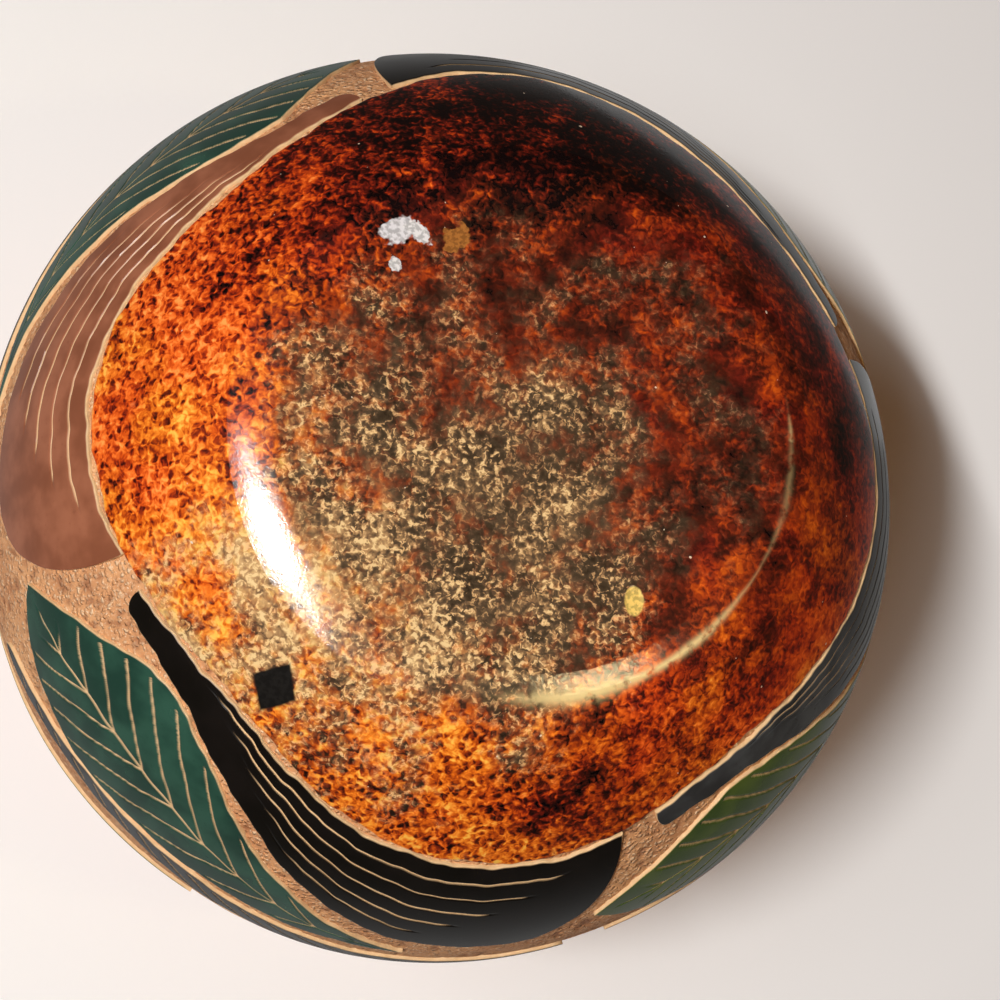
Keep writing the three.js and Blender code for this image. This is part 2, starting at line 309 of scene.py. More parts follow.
class Nodes:
    """The nodes of a material or a world, added and linked by short calls."""

    def __init__(self, owner):
        owner.use_nodes = True
        self.owner = owner
        self.tree = owner.node_tree

    @cached_property
    def place(self):
        return self.add("TexCoord").outputs["Object"]

    def set(self, socket, value):
        if isinstance(value, bpy.types.NodeSocket):
            self.tree.links.new(value, socket)
        elif socket.type == "RGBA":
            socket.default_value = (*value, 1)
        else:
            socket.default_value = value

    def add(self, kind, values=None, **properties):
        node = self.tree.nodes.new(f"ShaderNode{kind}")
        for key, value in properties.items():
            setattr(node, key, value)
        for socket, value in (values or {}).items():
            self.set(node.inputs[socket], value)
        return node

    def surface(self, **values):
        shader = self.tree.nodes["Principled BSDF"]
        for key, value in values.items():
            self.set(shader.inputs[key.replace("_", " ")], value)
        return self.owner

    def math(self, operation, a, b=0.0, c=0.0):
        return self.add("Math", {0: a, 1: b, 2: c}, operation=operation).outputs[0]

    def vector(self, operation, a, b):
        return self.add("VectorMath", {0: a, 1: b}, operation=operation).outputs["Vector"]

    def number(self, name):
        return self.add("Attribute", attribute_name=name).outputs["Fac"]

    def noise(self, size, place=None, detail=2.0, roughness=0.5, output="Fac"):
        """Noise with features about that many millimetres across."""
        values = {"Vector": place or self.place, "Scale": 1 / MM / size}
        values |= {"Detail": detail, "Roughness": roughness}
        return self.add("TexNoise", values).outputs[output]

    def patches(self, pattern, place=None, detail=2.0):
        """Noise of a pattern's size, 0 below its band and 1 above it."""
        size, *band = pattern
        return self.steps(self.noise(size, place, detail), *band)

    def curled(self, size, reach):
        """The place, stirred by swirls of that size, reach millimetres to each side."""
        stir = self.vector("SUBTRACT", self.noise(size, output="Color"), (0.5, 0.5, 0.5))
        values = {0: stir, 1: (2 * reach * MM,) * 3, 2: self.place}
        return self.add("VectorMath", values, operation="MULTIPLY_ADD").outputs["Vector"]

    def ridges(self, size, place, sharpness):
        """A net of fine lines, 1 along each line and 0 in the meshes between."""
        away = self.math("ABSOLUTE", self.math("SUBTRACT", self.noise(size, place, detail=1), 0.5))
        return self.math("SUBTRACT", 1.0, self.math("MINIMUM", self.math("MULTIPLY", away, sharpness), 1.0))

    def cells(self, size, place):
        """Rounded cells: about 0.2 at their middles and 0.7 between them, and a random number for each."""
        values = {"Vector": place, "Scale": 1 / MM / size, "Smoothness": 0.25}
        node = self.add("TexVoronoi", values, feature="SMOOTH_F1")
        parts = self.add("SeparateXYZ", {0: node.outputs["Color"]})
        return node.outputs["Distance"], parts.outputs["X"]

    def swayed(self, value, *sways):
        """The value, moved by each pattern's distance from its middle, times its reach."""
        for pattern, middle, reach in sways:
            value = self.math("MULTIPLY_ADD", self.math("SUBTRACT", pattern, middle), reach, value)
        return value

    def between(self, share, a, b):
        first, second, result = NUMBER_MIX
        return self.add("Mix", {0: share, first: a, second: b}).outputs[result]

    def steps(self, value, low, high):
        """0 below low, 1 above high, smooth between."""
        values = {"Value": value, "From Min": low, "From Max": high}
        return self.add("MapRange", values, interpolation_type="SMOOTHSTEP").outputs["Result"]

    def mix(self, share, a, b):
        first, second, result = COLOUR_MIX
        return self.add("Mix", {0: share, first: a, second: b}, data_type="RGBA").outputs[result]

    def mix_shaders(self, share, a, b):
        return self.add("MixShader", {0: share, 1: a, 2: b}).outputs["Shader"]

    def ramp(self, value, stops):
        node = self.add("ValToRGB", {"Fac": value})
        elements = node.color_ramp.elements
        while len(elements) < len(stops):
            elements.new(0.5)
        for element, (position, colour) in zip(elements, stops):
            element.position = position
            element.color = (*colour, 1)
        return node.outputs["Color"]

    def bump(self, height, depth, normal=None):
        """Relief of that many millimetres where height runs from 0 to 1."""
        values = {"Height": height, "Distance": depth * MM, "Strength": 1.0}
        if normal:
            values["Normal"] = normal
        return self.add("Bump", values).outputs["Normal"]

    def spot(self, x, y, long, short, turn, ragged, square):
        """1 inside an ellipse or a rectangle seen from below, 0 outside, with a ragged rim."""
        shift = self.vector("SUBTRACT", self.place, (x * MM, y * MM, 0.0))
        values = {"Vector": shift, "Angle": -math.radians(turn)}
        turned = self.add("VectorRotate", values, rotation_type="Z_AXIS").outputs["Vector"]
        scaled = self.vector("MULTIPLY", turned, (2 / MM / long, 2 / MM / short, 1 / MM / SPOT_HEIGHT))
        if square:
            sides = self.add("SeparateXYZ", {0: self.vector("ABSOLUTE", scaled, (0, 0, 0))})
            size = self.math("MAXIMUM", sides.outputs["X"], sides.outputs["Y"])
            size = self.math("MAXIMUM", size, sides.outputs["Z"])
        else:
            size = self.add("VectorMath", {0: scaled}, operation="LENGTH").outputs["Value"]
        rim = self.swayed(size, (self.noise(short / 2), 0.5, ragged))
        return self.math("SUBTRACT", 1.0, self.steps(rim, *SPOT_RIM))


# Mottled slip: colours from dark to light, then the sizes of its patterns and the bands where they set in
RUST = (
    (0.00, (0.004, 0.001, 0.001)),
    (0.12, (0.010, 0.002, 0.001)),
    (0.25, (0.055, 0.007, 0.002)),
    (0.35, (0.140, 0.014, 0.004)),
    (0.47, (0.350, 0.042, 0.004)),
    (0.62, (0.650, 0.115, 0.006)),
    (0.80, (0.920, 0.260, 0.020)),
    (1.00, (0.990, 0.540, 0.080)),
)
RED_GREEN = 0.66  # share of green that is left in the rust where it is red
TAN = (
    (0.00, (0.028, 0.016, 0.007)),
    (0.30, (0.060, 0.038, 0.020)),
    (0.45, (0.108, 0.066, 0.035)),
    (0.57, (0.240, 0.137, 0.064)),
    (0.70, (0.430, 0.248, 0.110)),
    (0.85, (0.640, 0.398, 0.174)),
    (1.00, (0.820, 0.590, 0.290)),
)
BARE_CLAY = (0.78, 0.43, 0.19)
# Pale gold of the worn edge, and of the painted sheen where the wear is widest
WORN_GOLD_AND_SHEEN = (0.86, 0.66, 0.30)
SPECK = (0.75, 0.62, 0.48)
STIR = (1.9, 1.1)  # size and reach of the swirls
SWIRL = (1.5, 1.3)
FLECK_SIZE = 0.95
CURL_SIZE = 1.2
CURL_BAND = (0.45, 0.60)
NET_SIZE = 1.4
NET_BAND = (0.27, 0.58)
NET_TONES = (0.32, 0.58)  # between which the net comes in
NET_MIDDLE = 0.62  # its value where it neither lightens nor darkens
CLUMP_SIZE = 3.0
CLOUD_SIZE = 15.0
RED_SIZE = 13.0
RED_BAND = (0.42, 0.68)
FINE_YELLOW = 2.2
BROAD_YELLOW = 11.0
YELLOW_BAND = (0.1, 0.9)
BROAD_RELIEF = 1.3
BROAD_DEPTH = 0.014
FINE_RELIEF = 0.5
FINE_DEPTH = 0.015
SMOKE = (7.0, 0.46, 0.68)  # size and band, in these five
CLUSTERS = (10.0, 0.36, 0.58)
WORN_SPOTS = (2.4, 0.26, 0.50)
SPECKS = (1.1, 0.875, 0.89)
MARK_GRAINS = (0.8, 0.4, 0.6)

# Marks on the underside: x and y, length, width, turn, raggedness, whether square, then colour and roughness
MARKS = (
    (*CHIP, 90, 0.25, False, (0.90, 0.62, 0.16), 0.55),
    (-22.6, -32.8, 6.4, 4.2, -25, 1.6, False, (0.74, 0.72, 0.74), 0.80),
    (-19.4, -32.6, 5.2, 2.6, 40, 1.6, False, (0.78, 0.76, 0.76), 0.80),
    (-23.2, -26.8, 2.6, 2.0, 60, 1.2, False, (0.76, 0.74, 0.74), 0.80),
    (-13.0, -32.0, 5.2, 3.6, -35, 1.8, False, (0.40, 0.15, 0.03), 0.45),
    (-40.8, 42.3, 5.6, 6.0, -14, 0.22, True, (0.012, 0.011, 0.010), 0.35),
)
MARK_SHADE = 0.6  # how dark a mark's darker grains are


def mottled_material():
    """Burnished slip, shaded by numbers on its points.

    tone is how light it is, tan how yellow, or how red where it is negative, and contrast how strongly its
    flecks show. Where it is rusty, orange flecks lie on dark brown, with dark spots where it is light. Where
    it is tan, golden flecks and fine curls take their place. gather is 1 where they lie in clusters, bare
    where the clay shows, and the wear number where the edge is worn. Where that wear is widest, and where
    tone and tan are raised beside the bevel, the pale gold is partly a painted sheen.
    """
    n = Nodes(bpy.data.materials.new("mottled_slip"))
    tone, tan = n.number("tone"), n.number("tan")
    stirred, swirled = n.curled(*STIR), n.curled(*SWIRL)
    flecks = n.noise(FLECK_SIZE, stirred, detail=1)
    band = n.noise(FLECK_SIZE, swirled, detail=1)
    curls = n.math("MULTIPLY", n.ridges(CURL_SIZE, swirled, sharpness=8.0), n.steps(band, *CURL_BAND))
    apart, chance = n.cells(NET_SIZE, stirred)
    net = n.steps(n.swayed(apart, (chance, 0.5, -0.2)), *NET_BAND)
    net = n.between(n.steps(tone, *NET_TONES), NET_MIDDLE, net)
    clumps = n.noise(CLUMP_SIZE, stirred, detail=2)
    smoke = n.patches(SMOKE, swirled, detail=4)
    clouds = n.noise(CLOUD_SIZE, detail=3)
    clusters = n.patches(CLUSTERS, stirred, detail=3)
    gathered = n.between(n.number("gather"), 1.0, n.math("MULTIPLY_ADD", clusters, 0.75, 0.45))
    contrast = n.math("MULTIPLY", n.number("contrast"), gathered)

    rusty = n.swayed(0.0, (flecks, 0.5, 1.2), (net, NET_MIDDLE, 0.38), (clumps, 0.5, 0.85))
    rusty = n.math("MULTIPLY_ADD", rusty, contrast, tone)
    rusty = n.swayed(rusty, (clouds, 0.5, 0.65), (smoke, 0.35, -0.16), (gathered, 0.90, 0.10))
    red_rust = tuple((stop, (r, RED_GREEN * g, b)) for stop, (r, g, b) in RUST)
    redness = n.swayed(n.noise(RED_SIZE, stirred), (tan, 0.0, -0.25))
    rust = n.mix(n.steps(redness, *RED_BAND), n.ramp(rusty, RUST), n.ramp(rusty, red_rust))

    tanned = n.swayed(0.0, (curls, 0.2, 0.60), (flecks, 0.5, 0.9), (band, 0.5, 0.6), (clumps, 0.5, 0.6))
    tanned = n.math("MULTIPLY_ADD", tanned, contrast, tone)
    tanned = n.swayed(tanned, (clouds, 0.5, 0.7), (smoke, 0.35, -0.26), (gathered, 0.90, 0.18))
    fine, broad = n.noise(FINE_YELLOW, swirled), n.noise(BROAD_YELLOW, stirred, detail=3)
    yellow = n.swayed(tan, (fine, 0.5, 1.0), (broad, 0.5, 1.7))
    colour = n.mix(n.steps(yellow, *YELLOW_BAND), rust, n.ramp(tanned, TAN))

    # Pale gold of the worn edge; where the wear is widest it is a painted sheen
    worn_through_and_sheen = n.math("MULTIPLY", n.number("wear_and_sheen"), n.patches(WORN_SPOTS, detail=3))
    colour = n.mix(worn_through_and_sheen, colour, WORN_GOLD_AND_SHEEN)
    colour = n.mix(n.patches(SPECKS, detail=0), colour, SPECK)
    rough = n.math("MULTIPLY_ADD", clumps, 0.2, 0.30)
    grains = n.patches(MARK_GRAINS)
    for *place, mark_colour, mark_rough in MARKS:
        mark = n.spot(*place)
        shade = tuple(MARK_SHADE * c for c in mark_colour)
        colour = n.mix(mark, colour, n.mix(grains, mark_colour, shade))
        rough = n.between(mark, rough, mark_rough)
    colour = n.mix(n.number("bare"), colour, BARE_CLAY)
    relief = n.bump(n.noise(BROAD_RELIEF, swirled), BROAD_DEPTH)
    relief = n.bump(n.noise(FINE_RELIEF, stirred), FINE_DEPTH, relief)
    return n.surface(
        Base_Color=colour,
        Roughness=rough,
        Specular_IOR_Level=0.12,
        Normal=relief,
        Coat_Normal=relief,
        Coat_Weight=1.0,
        Coat_Roughness=0.12,
    )


# Plain slips and clay: colours, then the sizes and bands of their patterns
CUT_CLAY = ((0.84, 0.60, 0.34), (0.66, 0.39, 0.18))
CLAY_BODY = ((0.62, 0.28, 0.12), (0.78, 0.40, 0.18))
CLAY_CRUMBS = (0.90, 0.62, 0.38)
CLAY_GRAIN = (0.92, 0.72, 0.50)
# Painted shade at the bottom of the tool marks
PIT_SHADE = (0.32, 0.12, 0.05)
SLIP_CLOUDS = 9.0
SLIP_BAND = (0.35, 0.7)
SLIP_FLECKS = (0.9, 0.62, 0.75)  # size and band
CUT_SIZE = 1.2
CLAY_CLOUDS = (14.0, 0.3, 0.7)  # size and band
CRUMB_SIZE = 0.95
CRUMB_BAND = (0.15, 0.60)
CRUMB_CHANCE = (0.35, 0.9)  # random numbers between which a crumb turns pale
CRUMB_STIR = (1.2, 0.6)
CRUMB_DEPTH = 0.30
GRAIN_SIZE = 0.4
GRAIN_BAND = (0.58, 0.72)
GRAIN_DEPTH = 0.10


def slip_material(name, colour, dark):
    """Burnished slip of one colour, brushed thin in places. bare is 1 where it is cut and the clay shows."""
    n = Nodes(bpy.data.materials.new(name))
    clouds = n.noise(SLIP_CLOUDS, detail=3)
    bare = n.number("bare")
    body = n.mix(n.steps(clouds, *SLIP_BAND), dark, colour)
    body = n.mix(n.math("MULTIPLY", n.patches(SLIP_FLECKS), 0.35), body, dark)
    rough = n.math("MULTIPLY_ADD", bare, 0.45, n.math("MULTIPLY_ADD", clouds, 0.14, 0.17))
    return n.surface(Base_Color=n.mix(bare, body, n.mix(n.noise(CUT_SIZE), *CUT_CLAY)), Roughness=rough)


def clay_material():
    """Bare fired clay, roughened with a point. pit is 1 at the bottom of a tool mark, where a darker colour
    is painted in as shade.
    """
    n = Nodes(bpy.data.materials.new("clay"))
    grain = n.noise(GRAIN_SIZE, detail=2, roughness=0.7)
    apart, chance = n.cells(CRUMB_SIZE, n.curled(*CRUMB_STIR))
    crumbs = n.math("SUBTRACT", 1.0, n.steps(apart, *CRUMB_BAND))
    body = n.mix(n.patches(CLAY_CLOUDS, detail=3), *CLAY_BODY)
    body = n.mix(n.math("MULTIPLY", crumbs, n.steps(chance, *CRUMB_CHANCE)), body, CLAY_CRUMBS)
    body = n.mix(n.steps(grain, *GRAIN_BAND), body, CLAY_GRAIN)
    # Painted shade, darker at the bottom of each tool mark
    body = n.mix(n.math("MULTIPLY", n.number("pit"), 0.7), body, PIT_SHADE)
    relief = n.bump(grain, GRAIN_DEPTH, n.bump(crumbs, CRUMB_DEPTH))
    return n.surface(Base_Color=body, Roughness=0.75, Normal=relief)


# Colour of each plain slip, and its darker shade
SLIP_COLOURS = {
    "black_slip": ((0.008, 0.006, 0.005), (0.005, 0.004, 0.003)),
    "leaf_green_slip": ((0.095, 0.150, 0.020), (0.050, 0.095, 0.014)),
    "deep_green_slip": ((0.030, 0.095, 0.065), (0.014, 0.050, 0.035)),
    "grey_slip": ((0.075, 0.080, 0.085), (0.035, 0.036, 0.038)),
    "terracotta_slip": ((0.380, 0.140, 0.075), (0.240, 0.080, 0.040)),
}
MATERIALS = {"mottled_slip": mottled_material(), "clay": clay_material()}
MATERIALS |= {name: slip_material(name, *colours) for name, colours in SLIP_COLOURS.items()}
SLOTS = {row["node"]: row["material_slot"] for row in frame["record"]["subparts"]}

# How the mottling varies over the underside: x and y along the surface from the base's centre,
# then how light it is, how yellow, or how red where that is negative, and how strongly its flecks show.
# The light, yellow patches at negative x and positive y, beside the bevel, are partly a painted sheen of
# glare by the highlight.
PATCHES_WITH_SHEEN = (
    (-64, -2, 0.60, -0.30, 0.80),
    (-78, 8, 0.58, -0.30, 0.80),
    (-58, 30, 0.69, 0.45, 0.75),
    (-41, 31, 0.71, 0.74, 0.68),
    (-23, 49, 0.67, 0.60, 0.80),
    (-16, 64, 0.49, 0.08, 0.95),
    (-40, 59, 0.50, 0.10, 1.00),
    (25, 54, 0.37, -0.20, 0.85),
    (56, 32, 0.44, -0.40, 0.46),
    (65, -14, 0.28, -0.40, 0.43),
    (52, -49, 0.20, -0.40, 0.48),
    (15, -54, 0.02, -0.60, 0.85),
    (-30, -49, 0.20, -0.80, 0.95),
    (-53, -37, 0.50, -0.80, 0.95),
    (0, 10, 0.47, 0.92, 0.66),
    (-7, 33, 0.49, 0.88, 0.76),
    (-26, -4, 0.45, 0.70, 0.70),
    (-9, -20, 0.35, 0.46, 0.60),
    (32, 5, 0.27, 0.27, 0.42),
    (21, -29, 0.29, 0.24, 0.45),
)
PATCH_REACH = 15.0
FAR_WEIGHT = 1e-6  # of each patch, at any distance
GATHER = (38.0, 54.0)  # distances from the base's centre between which the clusters end

# Mottling of the shoulder and the collar. Waves are rows of reach, count around the pot and phase.
UPPER_TONE = 0.55
UPPER_TONE_WAVES = ((0.10, 2, 1.0), (0.06, 5, 0.0))
SHOULDER_TAN = 0.25
SHOULDER_TAN_WAVES = ((0.25, 1, 2.0),)
LIP_TAN = 0.15
UPPER_CONTRAST = 0.9


def mottling_with_sheen(azimuth, arc):
    """Numbers of the mottling on the underside, blended from the patches around each point, by name. Beside
    the bevel they also carry a painted sheen.
    """
    turn = np.radians(azimuth)
    x, y = arc * np.cos(turn), arc * np.sin(turn)
    total, blend = 0.0, 0.0
    for patch_x, patch_y, *numbers in PATCHES_WITH_SHEEN:
        apart = np.hypot(x - patch_x, y - patch_y)
        weight = np.exp(-((apart / PATCH_REACH) ** 2)) + FAR_WEIGHT
        total = total + weight
        blend = blend + weight * np.reshape(numbers, (3, 1, 1))
    tone, tan, contrast = blend / total
    gather = np.broadcast_to(1 - smoothstep(arc, *GATHER), tone.shape)
    return {"tone": tone, "tan": tan, "contrast": contrast, "gather": gather}


def upper_mottling(azimuth, climb):
    """Numbers of the mottling on shoulder and collar, by name. climb runs from 0 to 1 up the collar."""
    turn = np.radians(azimuth)
    tone = UPPER_TONE + (1 - climb) * waves(turn, UPPER_TONE_WAVES)
    tan = lerp(SHOULDER_TAN + waves(turn, SHOULDER_TAN_WAVES), LIP_TAN, climb)
    return {"tone": tone, "tan": tan, "contrast": np.full(tone.shape, UPPER_CONTRAST)}


# Turned pieces


def towards(azimuth, side, fade):
    """1 on one side of the pot, 0 away from it."""
    return smoothstep(np.cos(np.radians(azimuth - side)), *fade)


def edge_wear_and_sheen(azimuth, beyond):
    """How worn the base's edge is, at a distance beyond its crease: a line, broad in one place, partly a
    painted sheen.
    """
    strength = lerp(FAINT_WEAR, 1, smoothstep(azimuth, *WEAR_START)) * towards(azimuth, WORN_SIDE, WORN_FADE)
    uneven = 1 + WEAR_RIPPLE * np.sin(np.radians(WEAR_RIPPLES * azimuth))
    rubbed = np.exp(-(((azimuth - RUBBED_AND_SHEEN_SIDE) / RUBBED_SHEEN_SPAN) ** 2))
    reach = lerp(WEAR_REACH * uneven, RUBBED_SHEEN_REACH, rubbed)
    return np.exp(-((beyond / reach) ** 2)) * strength


def uneven_base(points):
    """How far the base dips from flat: a shallow hollow, and the recess of a chip."""
    x, y = points[..., 0], points[..., 1]
    wave_x, wave_y = HOLLOW_WAVES
    uneven = 1 + HOLLOW_RIPPLE * np.sin(wave_x * x + HOLLOW_PHASE) * np.sin(wave_y * y)
    hollow = HOLLOW_DEPTH * (1 - smoothstep(np.hypot(x, y), *HOLLOW_FADE)) * uneven
    chip_x, chip_y, long, short = CHIP
    from_chip = np.hypot((x - chip_x) / (short / 2), (y - chip_y) / (long / 2))
    return hollow + CHIP_DEPTH * (1 - smoothstep(from_chip, *CHIP_RIM))


def foot_inside():
    """Rings of the foot's joint face, cove and floor: radius and height, from the outside in."""
    inner_r, inner_z = wall_profile(FOOT_POLAR, INNER_DEPTH)
    floor_r = inner_r - FLOOR_COVE
    corner = (inner_r - FLOOR_COVE / 2, FLOOR_THICKNESS)
    cove = bezier((inner_r, inner_z), corner, (floor_r, FLOOR_THICKNESS), COVE_STEPS)
    floor_rs = np.linspace(floor_r, FLOOR_HOLE, FLOOR_RINGS + 1)[1:]
    floor = np.stack([floor_rs, np.full(FLOOR_RINGS, FLOOR_THICKNESS)], axis=1)
    return np.concatenate([cove, floor])


def foot():
    """Flat base, its worn edge with a painted sheen, the start of the wall, the joint face and the floor
    inside.
    """
    azimuth = full_turn(COLUMNS)[:, None]
    edge_r, edge_z = wall_profile(FOOT_POLAR, 0.0)
    steepness = LOWER_RISE / WAIST_RADIUS * math.tan(math.radians(FOOT_POLAR))
    soft = towards(azimuth, SOFT_SIDE, SIDE_FADE)
    crease_in = CREASE_IN + CREASE_MORE * towards(azimuth, RUBBED_AND_SHEEN_SIDE, SIDE_FADE)
    crease_r = edge_r - (1 - soft) * (crease_in - CREASE_WANDER * wander(azimuth, CREASE_SEED))
    crease_z = np.maximum(edge_z - steepness * (edge_r - crease_r), CREASE_HEIGHT)

    flat_r = crease_r - lerp(BASE_EDGE, BEVEL, soft)
    flat_rs = flat_r * np.linspace(0, 1, BASE_RINGS + 1)[None, 1:]
    share = np.linspace(0, 1, EDGE_RINGS + 1)[None, 1:]
    round_rs = lerp(flat_r, crease_r, share)
    rounded = (3 * share + share**2) / 4
    bevelled = lerp(soft_start(share, BEVEL_START), share**2, BEVEL_BEND)
    round_zs = crease_z * lerp(rounded, bevelled, soft)
    wall_rs, wall_zs = lerp(crease_r, edge_r, share), lerp(crease_z, edge_z, share)
    inside_rs, inside_zs = (np.tile(numbers, (COLUMNS, 1)) for numbers in foot_inside().T)

    radius = np.concatenate([flat_rs, round_rs, wall_rs, inside_rs], axis=1)
    height = np.concatenate([0 * flat_rs, round_zs, wall_zs, inside_zs], axis=1)
    rings = around(azimuth, radius, height)
    rings[:, :BASE_RINGS, 2] += uneven_base(rings[:, :BASE_RINGS])
    poles = np.array([[0, 0, uneven_base(np.zeros(3))], [0, 0, FLOOR_THICKNESS]])
    points = np.concatenate([rings.reshape(-1, 3), poles])

    rows = radius.shape[1]
    first = np.arange(COLUMNS) * rows
    after = np.roll(first, -1)
    base_pole, floor_pole = np.full(COLUMNS, len(points) - 2), np.full(COLUMNS, len(points) - 1)
    under = np.stack([base_pole, after, first], axis=1)
    inside = np.stack([first + rows - 1, after + rows - 1, floor_pole], axis=1)
    polygons = [grid_faces(COLUMNS, rows, True, False), under, inside]

    outer = np.arange(rows) < rows - inside_rs.shape[1]
    values = mottling_with_sheen(azimuth, np.minimum(radius, edge_r))
    values["bare"] = np.broadcast_to(~outer, radius.shape)
    # The crease's wear, widened on the rubbed side into a painted sheen
    values["wear_and_sheen"] = edge_wear_and_sheen(azimuth, radius - crease_r) * outer
    for key, numbers in values.items():
        values[key] = np.append(numbers.ravel(), numbers[0, [0, rows - 1]])
    return make_piece("foot", points, polygons, "foot_disc", values)


MOUTH_BARE = 0.85  # how bare the clay is inside the mouth
MOUTH_FADE = (12, 24)  # rows past the collar's outside between which the slip gives way to it


def collar():
    """Neck that sweeps up from the shoulder and flares to a round lip."""
    start = np.array(wall_profile(NECK_POLAR, 0.0))
    waist = np.array([NECK_RADIUS, start[1] + NECK_RISE])
    sine, cosine = math.sin(math.radians(LIP_FLARE)), math.cos(math.radians(LIP_FLARE))
    end_r = LIP_RADIUS - LIP_WALL / 2 * (1 - cosine)
    end_z = waist[1] + LIP_RISE - LIP_WALL / 2 * (1 + sine)
    corner = (NECK_RADIUS, end_z - (end_r - NECK_RADIUS) * cosine / sine)
    sweep = bezier(start, (NECK_RADIUS, start[1]), waist, COLLAR_STEPS)
    outside = np.concatenate([sweep, bezier(waist, corner, (end_r, end_z), COLLAR_STEPS)[1:]])
    along = np.gradient(outside, axis=0)
    along /= np.linalg.norm(along, axis=1)[:, None]
    inward = np.stack([-along[:, 1], along[:, 0]], axis=1)
    inside = outside + inward * np.linspace(INNER_DEPTH, LIP_WALL, len(outside))[:, None]
    inside[0] = wall_profile(NECK_POLAR, INNER_DEPTH)
    middle = (outside[-1] + inside[-1]) / 2
    arm = outside[-1] - middle
    turn = np.linspace(0, np.pi, LIP_STEPS + 1)[1:-1, None]
    lip = middle + arm * np.cos(turn) + np.array([-arm[1], arm[0]]) * np.sin(turn)
    profile = np.concatenate([outside, lip, inside[::-1]])

    rows = len(profile)
    past = np.arange(rows) - len(outside)
    azimuth = full_turn(COLUMNS)[:, None]
    points = around(azimuth, profile[None, :, 0], profile[None, :, 1])
    values = upper_mottling(azimuth, smoothstep(np.arange(rows), 0, len(outside))[None, :])
    values["bare"] = np.broadcast_to(MOUTH_BARE * smoothstep(past, *MOUTH_FADE), (COLUMNS, rows))
    make_piece("collar", points, ring_faces(points), "neck_collar", values)


# Bare clay of the two bowls

STIPPLE_SEED = 7
STIPPLE_RANGE = (0.2, 2.0)  # in standard deviations


def stipple(rows):
    """Marks of a pointed tool, from 0 to about 1, on the grid of the frieze's ground."""
    marks = np.random.default_rng(STIPPLE_SEED).standard_normal((SLIP_COLUMNS, rows))
    for axis in (0, 1):
        marks = np.roll(marks, 1, axis) + 2 * marks + np.roll(marks, -1, axis)
    return smoothstep(marks / marks.std(), *STIPPLE_RANGE)


def bowl(name, node, outer, pits):
    """A thrown bowl with pits in its outer rows. Its inner wall shows through the mouth."""
    azimuth = full_turn(SLIP_COLUMNS)[:, None]
    inner = np.linspace(outer[-1], outer[0], INNER_ROWS)
    outside = wall_points(azimuth, outer[None, :], GROUND_DEPTH + PIT_DEPTH * pits)
    inside = wall_points(azimuth, inner[None, :], INNER_DEPTH)
    points = np.concatenate([outside, inside], axis=1)
    pits = np.pad(pits, ((0, 0), (0, INNER_ROWS)))
    make_piece(name, points, ring_faces(points), node, {"pit": pits})


def bowls():
    """Both bowls, which meet at the waist and bear tool marks where they show in the frieze."""
    low = polar_at(-FRIEZE_BELOW - BORDER_SWELL - GROUND_OVERLAP)
    high = polar_at(FRIEZE_ABOVE + BORDER_SWELL + GROUND_OVERLAP)
    marks = stipple(LOWER_ROWS + UPPER_ROWS - 1)
    marks[:, LOWER_ROWS - 1] = WAIST_PITS

    covered, shown = np.linspace(FOOT_POLAR, low, COVERED_ROWS), np.linspace(low, WAIST_POLAR, LOWER_ROWS)
    pits = np.pad(marks[:, :LOWER_ROWS], ((0, 0), (COVERED_ROWS - 1, 0)))
    bowl("lower_wall", "lower_bowl", np.concatenate([covered, shown[1:]]), pits)

    shown, covered = np.linspace(WAIST_POLAR, high, UPPER_ROWS), np.linspace(high, NECK_POLAR, COVERED_ROWS)
    pits = np.pad(marks[:, LOWER_ROWS - 1 :], ((0, 0), (0, COVERED_ROWS - 1)))
    bowl("upper_wall", "upper_bowl", np.concatenate([shown, covered[1:]]), pits)


# Slip


def slip_shell(azimuth, low, high, rows, cut_low, cut_high, carving=None):
    """Points of a coat of slip between two edges, column by column, and how far the clay is bared on it."""
    width = (high - low)[:, None]
    reach = np.minimum(EDGE_ROUND, EDGE_SHARE * width)
    middle = reach + (width - 2 * reach) * np.linspace(0, 1, rows)[None, 1:-1]
    across = np.concatenate([reach * EDGE_STEPS, middle, width - reach * EDGE_STEPS[::-1]], axis=1)
    depth, bare = np.zeros(across.shape), np.zeros(across.shape)
    for cut, distance in ((cut_low, across), (cut_high, width - across)):
        if cut:
            close = np.clip(1 - distance / reach, 0, 1)
            depth += EDGE_DROP * (1 - np.sqrt(1 - close**2))
            bare = np.maximum(bare, 1 - smoothstep(distance, *EDGE_BARE))
    if carving:
        cuts = carving(across, width)
        depth += GROOVE_DEPTH * cuts
        bare = np.maximum(bare, smoothstep(cuts, *GROOVE_BARE))
    column = azimuth[:, None]
    parts = (
        wall_points(column, polar_at(low[:, None]), BED_DEPTH),
        wall_points(column, polar_at(low[:, None] + across), depth),
        wall_points(column, polar_at(high[:, None]), BED_DEPTH),
    )
    return np.concatenate(parts, axis=1), np.pad(bare, ((0, 0), (1, 1)), constant_values=1.0)


def ripple(p, phase):
    return np.sin(2 * np.pi * (p - phase))


def lower_border(p):
    return -FRIEZE_BELOW + BORDER_SWELL * ripple(p, LOWER_PHASE)


def upper_border(p):
    return FRIEZE_ABOVE + BORDER_SWELL * ripple(p, UPPER_PHASE)


LOWER_SEED = 1
UPPER_SEED = 2
RIM_FADE = (1.0, 5.0)  # distances from the frieze between which a lighter rim fades
RIM_TONE = 0.09
RIM_TAN = 0.15


def border_line(border, seed):
    """Azimuths around the pot, and the height of one of the frieze's hand-cut borders at each."""
    azimuth = full_turn(SLIP_COLUMNS)
    return azimuth, border((azimuth - FIRST_REPEAT) / 360 * REPEATS) + wander(azimuth, seed)


